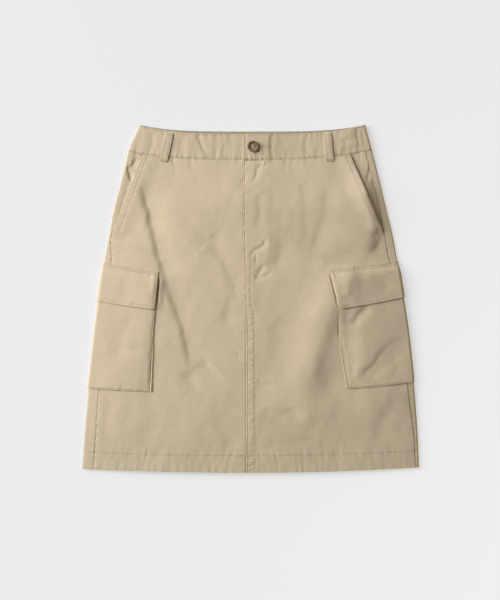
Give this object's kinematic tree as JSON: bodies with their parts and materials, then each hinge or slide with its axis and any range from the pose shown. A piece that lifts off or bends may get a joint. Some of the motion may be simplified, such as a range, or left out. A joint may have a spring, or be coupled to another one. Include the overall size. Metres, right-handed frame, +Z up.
{
  "type": "cargo utility skirt",
  "caption": "Knee-length cotton twill cargo skirt laid flat on its back, with slanted hip pockets, flapped cargo pockets round the side folds, belt loops and a buttoned waistband.",
  "frame": {"origin": "the middle of the skirt's outline, on the surface that it lies on", "axes": "+Y towards the waist, +Z up out of the front, +X to the right of someone looking down at the front"},
  "size_m": [0.5235, 0.5403, 0.0124],
  "materials": {
    "twill": "khaki cotton twill, matt, with tonal topstitching",
    "horn": "mottled brown imitation horn, satin"
  },
  "bodies": {
    "root": {"front_left": "twill", "front_right": "twill", "back_left": "twill", "back_right": "twill", "waistband_left": "twill", "waistband_right": "twill", "hip_facing_left": "twill", "hip_facing_right": "twill", "cargo_pocket_left": "twill", "cargo_pocket_right": "twill", "cargo_gusset_left": "twill", "cargo_gusset_right": "twill", "cargo_flap_left": "twill", "cargo_flap_right": "twill", "belt_loop_front_left": "twill", "belt_loop_front_right": "twill", "belt_loop_back_left": "twill", "belt_loop_back_centre": "twill", "belt_loop_back_right": "twill", "waist_button": "horn"}
  },
  "joints": []
}
